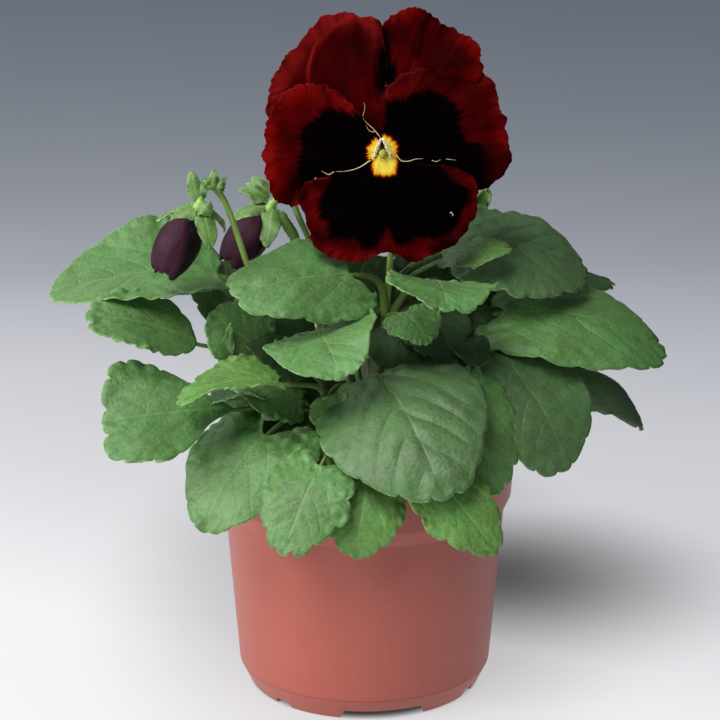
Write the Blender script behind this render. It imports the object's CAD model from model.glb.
import math
import random

import bmesh
import bpy
from mathutils import Matrix, Vector, noise


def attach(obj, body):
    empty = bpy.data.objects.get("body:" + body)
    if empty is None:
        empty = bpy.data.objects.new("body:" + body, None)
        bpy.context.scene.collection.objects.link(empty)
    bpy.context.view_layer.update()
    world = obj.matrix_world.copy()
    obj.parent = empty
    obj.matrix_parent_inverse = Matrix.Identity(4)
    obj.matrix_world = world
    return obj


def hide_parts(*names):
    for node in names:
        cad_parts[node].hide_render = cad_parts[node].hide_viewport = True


# A garden pansy growing in a terracotta-coloured nursery pot of peat, in the CAD model's frame:
# +Z up, the bloom facing -Y, the origin in the middle of the pot's foot ring. Shapes are worked out
# in millimetres and each piece is scaled to metres as it is finished.
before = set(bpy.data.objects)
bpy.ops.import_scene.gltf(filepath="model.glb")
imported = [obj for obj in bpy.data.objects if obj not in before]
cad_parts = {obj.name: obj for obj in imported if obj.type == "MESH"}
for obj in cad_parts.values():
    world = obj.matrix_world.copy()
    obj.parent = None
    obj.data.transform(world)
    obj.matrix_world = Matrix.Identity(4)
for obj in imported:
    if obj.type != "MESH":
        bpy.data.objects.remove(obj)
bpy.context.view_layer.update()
MM = 0.001


# Studio: one sheet of pale paper, flat under the pot and swept up into a wall behind it. It glows with
# a soft grey-blue gradient, which darkens upwards and towards the right, and it is dulled under the pot,
# where the plant's shadow falls, and outside the picture at the right.
FLOOR_FRONT = -900
FLOOR_BACK = 850
SWEEP_RADIUS = 150
WALL_TOP = 900
PAPER_HALF_WIDTH = 1600
BLACK = (0, 0, 0)
PAPER_LIT = (236, 235, 237)
SHADOW_MIDDLE = (0.052, 0.098, 0)
POT_SHADE_MIDDLE = (0, 0.055, 0)
PAPER_TONES = [
    (0.0, (249, 248, 250)), (0.05, (237, 236, 240)), (0.1, (226, 226, 230)), (0.15, (217, 218, 222)),
    (0.22, (210, 211, 215)), (0.31, (203, 204, 210)), (0.42, (190, 192, 199)),
    (0.56, (173, 178, 185)), (0.70, (157, 161, 170)), (0.79, (139, 144, 153)), (0.89, (118, 124, 133)),
    (0.955, (105, 111, 121)), (1.0, (99, 105, 115)),
]


def laid_grid(columns, rows, place):
    """A sheet of columns by rows squares. place turns a corner's two 0-1 fractions into a point."""
    sheet = bmesh.new()
    bmesh.ops.create_grid(sheet, x_segments=columns, y_segments=rows, size=0.5)
    for corner in sheet.verts:
        corner.co = place(corner.co.x + 0.5, corner.co.y + 0.5)
    return sheet


def colour(red, green, blue):
    """A tone given by its 0-255 screen values, as a linear colour."""
    parts = [value / 255 for value in (red, green, blue)]
    return (*[part / 12.92 if part < 0.04 else ((part + 0.055) / 1.055) ** 2.4 for part in parts], 1)


def feed(node, feeds):
    """Gives a node's sockets their values, or links other sockets to them."""
    for name, value in feeds.items():
        if isinstance(value, bpy.types.NodeSocket):
            node.id_data.links.new(value, node.inputs[name])
        else:
            node.inputs[name].default_value = value


def wired(beside, kind, feeds=None, **settings):
    """Adds a node to the tree that a socket or node is in, with these settings and feeds."""
    node = beside.id_data.nodes.new("ShaderNode" + kind)
    for name, value in settings.items():
        setattr(node, name, value)
    feed(node, feeds or {})
    return node


def worked(operation, first, second=0.0, third=0.0):
    """The result of one sum on a socket and other sockets or values."""
    return wired(first, "Math", {0: first, 1: second, 2: third}, operation=operation).outputs[0]


def worked_place(operation, first, second=(0, 0, 0), result="Vector"):
    """The result of one sum on places, as a place or as a plain Value."""
    return wired(first, "VectorMath", {0: first, 1: second}, operation=operation).outputs[result]


def ranged(value, start, end, low=0.0, high=1.0):
    """A socket's value carried softly from start-end to low-high, and held at both ends."""
    feeds = {"Value": value, "From Min": start, "From Max": end, "To Min": low, "To Max": high}
    return wired(value, "MapRange", feeds, interpolation_type="SMOOTHSTEP").outputs["Result"]


def clouded(place, scale, detail=2.0, **more):
    """Soft cloudy noise over a place, between 0 and 1."""
    feeds = {"Vector": place, "Scale": scale, "Detail": detail, **more}
    return wired(place, "TexNoise", feeds).outputs["Fac"]


def mixed(share, first, second):
    """Two tones mixed by a share. Each is a socket or 0-255 screen values."""
    first, second = (colour(*tone) if isinstance(tone, tuple) else tone for tone in (first, second))
    return wired(share, "Mix", {0: share, 6: first, 7: second}, data_type="RGBA").outputs[2]


def coated(tone, *coats):
    """A tone with more tones laid over it in turn, each by its own share."""
    for share, over in coats:
        tone = mixed(share, tone, over)
    return tone


def new_material(name, roughness):
    """A material, its surface shader, and a point's place on the piece."""
    material = bpy.data.materials.new(name)
    material.use_nodes = True
    surface = material.node_tree.nodes["Principled BSDF"]
    feed(surface, {"Roughness": roughness})
    return material, surface, wired(surface, "TexCoord").outputs["Object"]


def finished(name, shape, materials):
    """Makes a shape in millimetres an object in metres."""
    bmesh.ops.scale(shape, vec=(MM, MM, MM), verts=shape.verts)
    mesh = bpy.data.meshes.new(name)
    shape.to_mesh(mesh)
    shape.free()
    for material in materials:
        mesh.materials.append(material)
    mesh.polygons.foreach_set("use_smooth", [True] * len(mesh.polygons))
    piece = bpy.data.objects.new(name, mesh)
    bpy.context.scene.collection.objects.link(piece)
    return piece


def paper_place(across, along):
    arc = SWEEP_RADIUS * math.pi / 2
    flat = FLOOR_BACK - FLOOR_FRONT
    run = along * (flat + arc + WALL_TOP)
    x = (2 * across - 1) * PAPER_HALF_WIDTH
    if run < flat:
        return Vector((x, FLOOR_FRONT + run, 0))
    turn = min((run - flat) / SWEEP_RADIUS, math.pi / 2)
    y = FLOOR_BACK + SWEEP_RADIUS * math.sin(turn)
    return Vector((x, y, SWEEP_RADIUS * (1 - math.cos(turn)) + max(run - flat - arc, 0)))


paper_material, surface, place = new_material("printed_paper", 0.9)
spot = wired(place, "SeparateXYZ", {0: place}).outputs
back_and_up = worked("ADD", spot["Y"], spot["Z"])
depth = worked("MULTIPLY_ADD", spot["X"], ranged(back_and_up, 0.35, 1.1, 0.5, 0.06), back_and_up)
depth = worked("MULTIPLY_ADD", clouded(place, 5), 0.02, depth)
gradient = wired(place, "ValToRGB", {"Fac": worked("DIVIDE", depth, 1.3)})
stops = gradient.color_ramp.elements
for position, tone in PAPER_TONES[1:-1]:
    stops.new(position)
for stop, (position, tone) in zip(stops, PAPER_TONES):
    stop.color = colour(*tone)
off_pot = worked_place("MULTIPLY", place, (1, 0.5, 1))
off_pot = worked_place("DISTANCE", off_pot, POT_SHADE_MIDDLE, "Value")
kept_glow = ranged(worked("MULTIPLY_ADD", back_and_up, -0.35, spot["X"]), 0.17, 0.3, 1, 0.08)
for shade in (
    ranged(worked_place("DISTANCE", place, SHADOW_MIDDLE, "Value"), 0, 0.122, 0.04, 1),
    ranged(off_pot, 0.05, 0.125, 0.68, 1),
    ranged(worked_place("LENGTH", place, result="Value"), 0.036, 0.044, 0.05, 1),
):
    kept_glow = worked("MINIMUM", kept_glow, shade)
far = ranged(off_pot, 0.12, 0.3, 0.8, 1)
feed(surface, {
    "Base Color": mixed(far, PAPER_LIT, BLACK),
    "Emission Color": mixed(far, BLACK, mixed(kept_glow, BLACK, gradient.outputs["Color"])),
    "Emission Strength": 1,
    "Specular IOR Level": 0,
})
finished("paper_sweep", laid_grid(4, 120, paper_place), [paper_material])


# Camera and lamps: a long lens a little above the rim, a broad soft lamp high in front, a lower one at
# the left, a weak one behind, and an even pale room light.
# Each lamp has its place and aim in metres, its size, its power in watts and its tone.
LAMPS = {
    "top_lamp": ((-0.45, -0.85, 1.25), (0, 0, 0.10), 0.8, 14.8, (1, 0.99, 0.97)),
    "side_lamp": ((-1.12, -0.48, 0.56), (0, 0, 0.10), 0.5, 10.6, (1, 0.99, 0.98)),
    "back_lamp": ((-0.5, 0.6, 0.9), (0, 0, 0.14), 0.6, 1.5, (0.97, 0.98, 1)),
}
CAMERA_LENS = 76.5
CAMERA_PLACE = (-0.00157, -0.509, 0.2275)
CAMERA_DOWNWARDS = 12.7
camera_data = bpy.data.cameras.new("camera")
camera_data.lens = CAMERA_LENS
camera_data.sensor_width = 36
camera = bpy.data.objects.new("camera", camera_data)
camera.location = CAMERA_PLACE
camera.rotation_euler = (math.radians(90 - CAMERA_DOWNWARDS), 0, 0)
bpy.context.scene.collection.objects.link(camera)
bpy.context.scene.camera = camera
bpy.context.scene.view_settings.view_transform = "Standard"

for name, (place, aim, size, power, tone) in LAMPS.items():
    light = bpy.data.lights.new(name, "AREA")
    light.shape = "DISK"
    light.size = size
    light.energy = power
    light.color = tone
    holder = bpy.data.objects.new(name, light)
    holder.location = place
    holder.rotation_euler = (Vector(aim) - Vector(place)).to_track_quat("-Z", "Y").to_euler()
    bpy.context.scene.collection.objects.link(holder)
room = bpy.data.worlds.new("room")
room.use_nodes = True
feed(room.node_tree.nodes["Background"], {"Color": (0.94, 0.97, 1, 1), "Strength": 0.14})
bpy.context.scene.world = room


# Pot: injection-moulded terracotta-coloured plastic, satin outside, with a stepped rim band, a foot
# ring cut by drain notches, and holes in its floor. Handling has left fine scuffs and dust on it.
POT_PROFILE = [
    (0, 4.2), (38.6, 4.2), (38.6, 0), (40.5, 0), (44.1, 7.5), (48.3, 62.5), (50.6, 67.3), (51.6, 80),
    (52.4, 80.6), (52.4, 83), (50.5, 83), (49.3, 67.7), (47.0, 62.9), (41.8, 5.8), (0, 5.8),
]
WIDE_NOTCHES = [(azimuth, 29, 3.4) for azimuth in (8.6, 188.6)]
NARROW_NOTCHES = [(azimuth, 7.6, 2.2) for azimuth in (-42, 59.5, 138, 239.5)]
DRAIN_RADIUS = 3.2
DRAIN_CIRCLE = 26
DRAIN_COUNT = 6
DRAIN_LEVEL = 4.2
NOTCH_REACH = (34, 48)
POT_SIDES = 144
PROFILE_ROUNDING = 0.32
EDGE_ROUNDING = 0.2


def effect_group(name, takes, gives):
    """An empty shader node group, with its inner input sockets and its end node."""
    group = bpy.data.node_groups.new(name, "ShaderNodeTree")
    for way, titles in (("INPUT", takes), ("OUTPUT", gives)):
        for title, kind in titles.items():
            group.interface.new_socket(title, in_out=way, socket_type="NodeSocket" + kind)
    return group, group.nodes.new("NodeGroupInput").outputs, group.nodes.new("NodeGroupOutput")


def stretched(place, scale, turn=(0, 0, 0)):
    """A place turned and scaled, which draws a pattern on it out."""
    return wired(place, "Mapping", {"Vector": place, "Rotation": turn, "Scale": scale}).outputs[0]


def raised(height, strength, distance):
    """The normal of a surface that a pattern stands out of."""
    feeds = {"Height": height, "Strength": strength, "Distance": distance}
    return wired(height, "Bump", feeds).outputs["Normal"]


def show(name, shape, materials, slot, *nodes):
    """Makes a shape in millimetres a finished piece, riding on the CAD model's only body."""
    piece = finished(name, shape, materials)
    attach(piece, "root")
    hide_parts(*nodes)
    return piece


def closed_up(shape, gap=0.002):
    """Merges doubled corners along seams and poles, and turns the faces outwards."""
    bmesh.ops.remove_doubles(shape, verts=shape.verts, dist=gap)
    bmesh.ops.recalc_face_normals(shape, faces=shape.faces)


# Specks: pale dust scattered over a surface, with a fine grain under it.
specks, given, made = effect_group(
    "specks", {"Place": "Vector", "Size": "Float", "Share": "Float"}, {"Mask": "Float", "Grain": "Float"})
cells = wired(specks, "TexVoronoi", {"Vector": given["Place"], "Scale": given["Size"]})
reach = worked("MULTIPLY", given["Share"], clouded(given["Place"], 45, 4))
reach = worked("MULTIPLY", reach, 4)
feed(made, {
    "Mask": worked("LESS_THAN", cells.outputs["Distance"], reach),
    "Grain": clouded(given["Place"], 2600, 3),
})

pot_material, surface, place = new_material("moulded_plastic", 0.42)
height = wired(place, "SeparateXYZ", {0: place}).outputs["Z"]
clouds = clouded(place, 28, 5)
swirls = clouded(stretched(place, (9, 9, 320)), 3)
dust = wired(place, "Group", {"Place": place, "Size": 520, "Share": 0.012}, node_tree=specks).outputs
scuffs = clouded(stretched(place, (40, 40, 700), (0.3, 0.5, 0.2)), 1)
scuffed = ranged(scuffs, 0.68, 0.76, 0, 0.12)
soiled = worked("MULTIPLY", ranged(height, 0.069, 0.083), clouds)
off_groove = worked("ABSOLUTE", worked("SUBTRACT", height, 0.0077))
groove = wired(place, "MapRange", {"Value": off_groove, "From Max": 0.0005, "To Min": 0.5, "To Max": 0})
plastic = coated(
    mixed(clouds, (165, 79, 67), (179, 93, 80)),
    (worked("MULTIPLY", swirls, 0.07), (196, 116, 102)),
    (worked("MULTIPLY", dust["Mask"], 0.5), (222, 190, 180)),
    (scuffed, (214, 160, 148)),
    (worked("MULTIPLY", soiled, 0.35), (112, 58, 46)),
    (worked("MULTIPLY", ranged(height, 0.012, 0, 0, 0.3), clouds), (150, 84, 72)),
    (groove.outputs["Result"], (120, 52, 44)),
)
feed(surface, {
    "Base Color": plastic,
    "Roughness": worked("MULTIPLY_ADD", scuffed, 0.5, worked("MULTIPLY_ADD", clouds, 0.16, 0.34)),
    "Normal": raised(worked("MULTIPLY_ADD", swirls, 0.5, dust["Grain"]), 0.25, 0.00008),
})

pot = bmesh.new()
rim_to_foot = [pot.verts.new((radius, 0, level)) for radius, level in POT_PROFILE]
for upper, lower in zip(rim_to_foot, rim_to_foot[1:]):
    pot.edges.new((upper, lower))
bmesh.ops.bevel(pot, geom=rim_to_foot[1:-1], offset=PROFILE_ROUNDING, affect="VERTICES",
                segments=3, profile=0.5, material=-1, clamp_overlap=True)
bmesh.ops.spin(pot, geom=pot.verts[:] + pot.edges[:], cent=(0, 0, 0), axis=(0, 0, 1), dvec=(0, 0, 0),
               angle=2 * math.pi, steps=POT_SIDES, use_merge=True)
closed_up(pot, 0.001)

cutters = bmesh.new()
for azimuth, width, level in WIDE_NOTCHES + NARROW_NOTCHES:
    block = bmesh.ops.create_cube(cutters, size=1)["verts"]
    for corner in block:
        half = width / 2 - (0.5 * level if corner.co.z > 0 else 0)
        reach = NOTCH_REACH[0] if corner.co.y > 0 else NOTCH_REACH[1]
        corner.co = Vector((half if corner.co.x > 0 else -half, -reach, level if corner.co.z > 0 else -1))
    turn = Matrix.Rotation(math.radians(azimuth), 3, "Z")
    bmesh.ops.rotate(cutters, cent=(0, 0, 0), matrix=turn, verts=block)
for i in range(DRAIN_COUNT):
    turn = Matrix.Rotation(2 * math.pi * i / DRAIN_COUNT, 4, "Z")
    bmesh.ops.create_cone(cutters, cap_ends=True, segments=28, radius1=DRAIN_RADIUS, radius2=DRAIN_RADIUS,
                          depth=10, matrix=turn @ Matrix.Translation((DRAIN_CIRCLE, 0, DRAIN_LEVEL)))
bmesh.ops.scale(cutters, vec=(MM, MM, MM), verts=cutters.verts)
cutter_mesh = bpy.data.meshes.new("notch_cutters")
cutters.to_mesh(cutter_mesh)
cutter = bpy.data.objects.new("notch_cutters", cutter_mesh)
bpy.context.scene.collection.objects.link(cutter)
pot_shell = show("pot_shell", pot, [pot_material], "pot", "pot")
cut = pot_shell.modifiers.new("notches", "BOOLEAN")
cut.object = cutter
cut.solver = "EXACT"
rounded = pot_shell.modifiers.new("soft_edges", "BEVEL")
rounded.width = EDGE_ROUNDING * MM
rounded.segments = 2
rounded.limit_method = "ANGLE"
rounded.angle_limit = math.radians(42)
bpy.context.view_layer.update()
notched = bpy.data.meshes.new_from_object(pot_shell.evaluated_get(bpy.context.evaluated_depsgraph_get()))
pot_shell.modifiers.clear()
pot_shell.data = notched
bpy.data.objects.remove(cutter)


# Peat: damp, dark and crumbly, filled to just under the rim, with loose crumbs and short fibres
# lying on it. The stems stand in it.
PEAT_TOP = 74.5
PEAT_RADIUS = 49.0
PEAT_WALL = [(48.9, 68.0), (46.6, 63.2), (41.4, 6.2), (0, 6.2)]
PEAT_COLUMNS = 120
PEAT_RINGS = 40
CRUMB_COUNT = 420
CRUMB_REACH = 46.5
CRUMB_SIZES = (0.3, 1.3)

peat_material, surface, place = new_material("damp_peat", 0.9)
lumps = clouded(place, 260, 6, Roughness=0.7)
fibres = wired(place, "TexVoronoi", {"Vector": place, "Scale": 900}).outputs["Distance"]
fibres = ranged(fibres, 0.1, 0, 0, 0.5)
feed(surface, {
    "Base Color": coated(mixed(lumps, (24, 17, 13), (66, 48, 35)), (fibres, (120, 92, 64))),
    "Roughness": worked("MULTIPLY_ADD", lumps, 0.35, 0.6),
    "Normal": raised(lumps, 0.9, 0.0009),
})


def peat_level(x, y):
    """Height of the peat's rough top, in millimetres."""
    rough = 0.9 * math.sin(0.9 * x + 2) * math.sin(0.8 * y + 1)
    lumpy = 0.8 * noise.noise(Vector((x, y, 0)) * 0.35)
    return PEAT_TOP + 0.6 * rough + lumpy + 0.4 * noise.noise(Vector((x, y, 7)))


def peat_place(around, outward):
    ring = round(outward * (PEAT_RINGS + len(PEAT_WALL)))
    angle = 2 * math.pi * around
    if ring > PEAT_RINGS:
        radius, level = PEAT_WALL[ring - PEAT_RINGS - 1]
        return Vector((radius * math.cos(angle), radius * math.sin(angle), level))
    radius = PEAT_RADIUS * ring / PEAT_RINGS
    x, y = radius * math.cos(angle), radius * math.sin(angle)
    return Vector((x, y, peat_level(x, y)))


peat = laid_grid(PEAT_COLUMNS, PEAT_RINGS + len(PEAT_WALL), peat_place)
closed_up(peat, 0.005)
show("peat_fill", peat, [peat_material], "soil", "soil")

random.seed(4)
crumbs = bmesh.new()
for i in range(CRUMB_COUNT):
    size = random.uniform(*CRUMB_SIZES) ** 1.6
    angle, radius = random.uniform(0, 2 * math.pi), CRUMB_REACH * math.sqrt(random.random())
    spot = Vector((radius * math.cos(angle), radius * math.sin(angle), 0))
    spot.z = peat_level(spot.x, spot.y) + 0.2 * size
    stretch = Matrix.Diagonal((size * random.uniform(0.6, 2.2), size, 0.7 * size, 1))
    turn = Matrix.Rotation(random.uniform(0, 6.3), 4, "Z")
    turn = turn @ Matrix.Rotation(random.uniform(-0.5, 0.5), 4, "X")
    bmesh.ops.create_icosphere(crumbs, subdivisions=1, radius=1,
                               matrix=Matrix.Translation(spot) @ turn @ stretch)
show("peat_crumbs", crumbs, [peat_material], "soil", "soil")


# Leaves: soft, thin and slightly succulent, with round scallops, pale margins and sunken veins that
# arch from the midrib. Each blade sits on its own petiole, grown from a leafy stem. The tone says
# how blue, bright or dark that leaf has grown.
STEM_PATHS = {
    "stem_front": [(1, -9, 75), (1, -13, 84), (2, -16, 94)],
    "stem_front_left": [(-7, -7, 75), (-11, -13, 85), (-14, -18, 96)],
    "stem_left": [(-11, 1, 75), (-18, -2, 92), (-26, -8, 110)],
    "stem_front_right": [(8, -6, 75), (12, -11, 85), (16, -16, 97)],
    "stem_right": [(11, 1, 75), (18, 2, 92), (26, 0, 110)],
    "stem_bloom": [(3, 4, 75), (5, -4, 105), (7, -12, 130)],
    "stem_rear_left": [(-7, 8, 75), (-12, 14, 92), (-16, 18, 108)],
    "stem_rear_right": [(8, 9, 75), (13, 15, 92), (17, 19, 108)],
}
# A leaf's row: where along its stem it starts (0-1), the base, tip and width of its blade, the way its
# face looks, how far it arches and cups, its tone, and what its form has of its own.
LEAVES = {
    "stem_front": [
        (1, (4, -25, 114), (24, -67, 85), 53, (-0.1, -0.6, 0.8), (9, -6), "blue",
         {"ribs": 1.25, "cut": 0.8}),
        (0.6, (-13.5, -53.5, 92), (-25, -67.5, 67), 27, (-0.2, -0.85, 0.45), (3, -2), "mid",
         {"lobe": 0.17, "cut": 1.3, "uneven": 0.14}),
        (0.5, (1, -50.5, 89), (-3, -62, 64), 26, (0, -0.9, 0.4), (3, -2), "bright", {"cut": 1.3}),
        (0.9, (-15, -32, 130), (-7, -58, 120), 37, (-0.2, -0.55, 0.8), (4, 1), "mid",
         {"lobe": 0.34, "cut": 0.5, "uneven": 0.12}),
        (1, (-12, -31, 108), (-9, -40, 97), 13, (-0.2, -0.9, 0.4), (1, 1), "mid", {}),
        (0.8, (4, -6, 132), (24, -16, 112), 28, (0.1, -0.8, 0.5), (3, -2), "dark", {}),
    ],
    "stem_front_left": [
        (0.7, (-31, -39, 98), (-51, -54, 71), 39, (-0.4, -0.8, 0.5), (4, -3), "mid",
         {"lobe": 0.36, "cut": 0.6}),
        (0.85, (-41, -36, 105), (-83, -52, 104), 34, (-0.2, -0.8, 0.6), (3, 2), "mid",
         {"lobe": -0.2, "taper": -0.32, "cut": 1.1, "uneven": 0.18}),
        (1, (-26, -46, 116), (-57, -53, 111), 19, (0.1, -0.2, 1), (4, 3), "bright", {"cut": 1.6}),
        (0.9, (-33, -31, 107), (-50, -38, 106), 16, (0, 0.4, 0.9), (2, -1), "mid", {}),
        (0.8, (-20, -24, 104), (-43, -31, 113), 24, (0, -0.5, 0.8), (3, -2), "mid", {}),
        (0.6, (-16, -27, 97), (-37, -35, 91), 22, (0, -0.7, 0.7), (3, -2), "dark", {}),
        (0.7, (-24, -8, 112), (-50, -16, 99), 27, (-0.1, -0.8, 0.6), (3, -2), "dark", {}),
    ],
    "stem_left": [
        (1, (-53, -30, 125), (-86, -42, 136), 25, (-0.1, -0.6, 0.8), (3, 2), "mid",
         {"taper": -0.1, "lobe": -0.04}),
        (0.9, (-47, -8, 143.5), (-101, -22, 138.5), 43, (-0.1, -0.45, 0.9), (5, 6), "mid",
         {"cut": 0.35, "uneven": 0.1}),
        (0.7, (-34, -20, 120), (-50, -27, 134), 26, (0.3, -0.9, 0.3), (2, 2), "mid", {}),
        (0.9, (-34, 4, 126), (-57, -2, 142), 27, (0.1, -0.9, 0.4), (2, 2), "shaded", {}),
        (0.8, (-18, -12, 118), (-40, -20, 129), 29, (0, -0.8, 0.6), (2, 1), "dark", {}),
        (0.9, (-44.5, -28, 118.5), (-43, -29, 131.5), 4, (0.2, -1, 0.1), (0.6, -0.5), "mid",
         {"point": 0.5}),
        (0.5, (-9, 6, 112), (-26, -4, 90), 30, (-0.1, -0.8, 0.5), (3, -2), "dark", {}),
    ],
    "stem_front_right": [
        (0.6, (19, -55.5, 91), (40, -61, 66), 23, (0.2, -0.9, 0.4), (3, -2), "bright",
         {"lobe": 0.12, "cut": 1.4}),
        (0.8, (30, -32, 112), (41, -46, 80), 31, (0.4, -0.8, 0.4), (3, -2), "mid",
         {"lobe": 0.24, "taper": 0.1, "cut": 1.8}),
        (1, (44, -14, 119), (66, -30, 83), 46, (0.4, -0.8, 0.5), (5, -3), "blue",
         {"cut": 0.7, "uneven": 0.1}),
    ],
    "stem_right": [
        (1, (45, -2, 130), (102, 3, 115), 42, (0.2, -0.5, 0.85), (7, -4), "mid",
         {"lobe": 0.2, "taper": 0.08, "ribs": 0.8}),
        (0.8, (64, 12, 109), (98, 13, 85), 16, (0.2, -0.5, 0.8), (8, -5), "shaded", {"cut": 1.3}),
        (0.9, (33, -17, 123), (38, -24, 116), 12, (0.2, -0.9, 0.4), (1, 1), "dark", {}),
        (0.7, (26, -4, 128), (47, -14, 110), 28, (0.1, -0.8, 0.6), (3, -2), "dark", {}),
    ],
    "stem_bloom": [
        (1, (-4, -27, 147), (-41, -44, 143), 33, (0, -0.7, 0.7), (3, -3), "mid",
         {"lobe": 0.22, "uneven": 0.12}),
        (0.95, (22, -30, 145), (25, -52, 139), 34, (0.16, -0.3, 0.95), (3, 2), "mid",
         {"cut": 1.3, "uneven": 0.14}),
        (0.85, (25, -12, 150), (47, -18, 153), 17, (0.1, -0.4, 0.9), (2, -1), "bright", {}),
        (0.75, (30, 2, 152), (76, 9, 141), 45, (0.1, -0.5, 0.85), (7, -4), "blue", {"ribs": 0.8}),
        (0.7, (12, -24, 134), (20, -34, 126), 19, (0, -0.6, 0.8), (2, 1), "mid", {}),
        (0.6, (10, 8, 149), (51, 12, 131), 42, (0, -0.6, 0.8), (4, -3), "dark", {}),
        (0.5, (16, -6, 139), (30, -20, 117), 25, (0.1, -0.8, 0.5), (3, -2), "dark", {}),
        (0.8, (2, -2, 150), (-9, -13, 126), 26, (-0.1, -0.8, 0.5), (3, -2), "dark", {}),
    ],
    "stem_rear_left": [
        (1, (-42, 24, 136), (-84, 40, 130), 37, (-0.3, 0.2, 0.9), (6, -4), "mid", {}),
        (0.7, (-26, 42, 106), (-40, 66, 84), 34, (-0.3, 0.7, 0.6), (4, -3), "mid", {}),
        (0.9, (-20, 30, 138), (-38, 60, 134), 36, (-0.2, 0.4, 0.9), (4, -3), "blue", {}),
    ],
    "stem_rear_right": [
        (1, (50, 34, 133), (90, 33, 133), 26, (0, -0.2, 1), (5, -5), "dark", {}),
        (0.7, (28, 42, 106), (42, 66, 84), 34, (0.3, 0.7, 0.6), (4, -3), "blue", {}),
        (0.55, (1, 46, 104), (2, 68, 80), 32, (0, 0.8, 0.6), (4, -3), "mid", {}),
        (0.85, (16, 32, 140), (24, 64, 134), 36, (0.1, 0.4, 0.9), (4, -3), "mid", {}),
        (1, (38, 26, 160), (43.5, 24, 168.5), 6, (0.2, -0.9, 0.2), (1, 1), "bright", {}),
    ],
}
LEAF_CENTRE = 0.42
TOOTH_DEPTH = 2.3
TOOTH_SHARE = 0.085
MARGIN_WAVE = 1.1
BLADE_THICKNESS = 0.34
VEIN_SPACING = 0.21
PETIOLE_RADIUS = 1.3
STEM_STEPS = 40
STEM_FOOT = Vector((0, 0, -9))
STEM_RADII = [1.9, 1.9, 1.8, 1.5]
KEEL_SINKS = ((0.02, 0.85), (0.3, 0.75), (0.75, 0.5))
STEPS_BETWEEN = 16
PUCKERS = ((0.8, 0.08), (0.36, 0.2), (0.13, 0.45))
LEAF_MEASURES = ("start", "base", "tip", "width", "face", "bow", "tone")
LEAF_TONES = {
    "blue": ((81, 117, 68), (122, 156, 106), 0.5),
    "shaded": ((74, 101, 62), (110, 138, 97), 0.5),
    "mid": ((88, 135, 70), (136, 174, 110), 0.5),
    "bright": ((93, 141, 63), (148, 187, 110), 0.48),
    "dark": ((48, 78, 38), (80, 112, 62), 0.62),
}

# Leaf tissue: mottled green with paler sunken veins, a fine net between them and a pale margin. The
# blade attribute holds how many veins lie below a point, its millimetres from the midrib, and how
# far out it is from the middle (0) to the margin (1).
leaf_tissue, given, made = effect_group(
    "leaf_tissue",
    {"Blade": "Vector", "Place": "Vector", "Green": "Color", "Vein": "Color", "Vein Share": "Float",
     "Rib Share": "Float", "Rim Start": "Float"},
    {"Color": "Color", "Shine": "Float", "Height": "Float"},
)
blade = wired(leaf_tissue, "SeparateXYZ", {0: given["Blade"]}).outputs
place = given["Place"]
off_vein = worked("FRACT", worked("ADD", blade["X"], 0.5))
off_vein = worked("ABSOLUTE", worked("SUBTRACT", off_vein, 0.5))
fading = ranged(blade["Z"], 1, 0.45)
side_veins = worked("MULTIPLY", ranged(off_vein, 0.045, 0), fading)
midrib = worked("MULTIPLY", ranged(worked("ABSOLUTE", blade["Y"]), 0.7, 0.1), fading)
veins = worked("MAXIMUM", side_veins, midrib)
pale_rib = worked("MULTIPLY", midrib, ranged(blade["X"], 3, 0.3, 0.1, 1))
warp = wired(place, "TexNoise", {"Vector": place, "Scale": 300}).outputs["Color"]
bent = wired(place, "Mix", {0: 0.0012, 4: place, 5: warp}, data_type="VECTOR").outputs[1]
net = wired(bent, "TexVoronoi", {"Vector": bent, "Scale": 520}, feature="DISTANCE_TO_EDGE")
net = net.outputs["Distance"]
puckers = clouded(place, 330)
broad = clouded(place, 70, 4)
mottle = clouded(place, 900, 3)
green = wired(place, "HueSaturation", {
    "Color": given["Green"],
    "Hue": worked("MULTIPLY_ADD", broad, 0.05, 0.475),
    "Value": worked("MULTIPLY_ADD", broad, 0.9, 0.55),
}).outputs[0]
margin = worked("MULTIPLY", ranged(blade["Z"], given["Rim Start"], 1), ranged(mottle, 0.4, 0.65, 0.1, 0.6))
tone = coated(
    green,
    (ranged(mottle, 0.35, 0.75, 0, 0.26), given["Vein"]),
    (ranged(puckers, 0.55, 0.3, 0, 0.16), (38, 66, 30)),
    (worked("MULTIPLY", ranged(net, 0.1, 0), 0.12), given["Vein"]),
    (worked("MULTIPLY", veins, given["Vein Share"]), given["Vein"]),
    (worked("MULTIPLY", pale_rib, given["Rib Share"]), (158, 186, 116)),
    (margin, (176, 206, 138)),
)
level = worked("MULTIPLY", veins, -0.6)
for height, weight in ((ranged(net, 0, 0.4), 0.35), (puckers, 1.1), (mottle, 0.6)):
    level = worked("MULTIPLY_ADD", height, weight, level)
feed(made, {"Color": tone, "Shine": worked("MULTIPLY_ADD", mottle, 0.16, -0.08), "Height": level})


def leaf_material(name, green, vein, roughness, vein_share=0.26, relief=0.55, rib_share=0.12, rim=0.982):
    material, surface, place = new_material(name, roughness)
    tissue = wired(place, "Group", {
        "Blade": wired(place, "Attribute", attribute_name="blade").outputs["Vector"], "Place": place,
        "Green": colour(*green), "Vein": colour(*vein), "Vein Share": vein_share, "Rib Share": rib_share,
        "Rim Start": rim,
    }, node_tree=leaf_tissue).outputs
    feed(surface, {
        "Base Color": tissue["Color"],
        "Roughness": worked("ADD", tissue["Shine"], roughness),
        "Normal": raised(tissue["Height"], relief, 0.0003),
        "Specular IOR Level": 0.5,
        "Subsurface Weight": 0.08,
        "Subsurface Radius": (0.3, 0.9, 0.2),
        "Subsurface Scale": 0.0012,
    })
    return material


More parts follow.
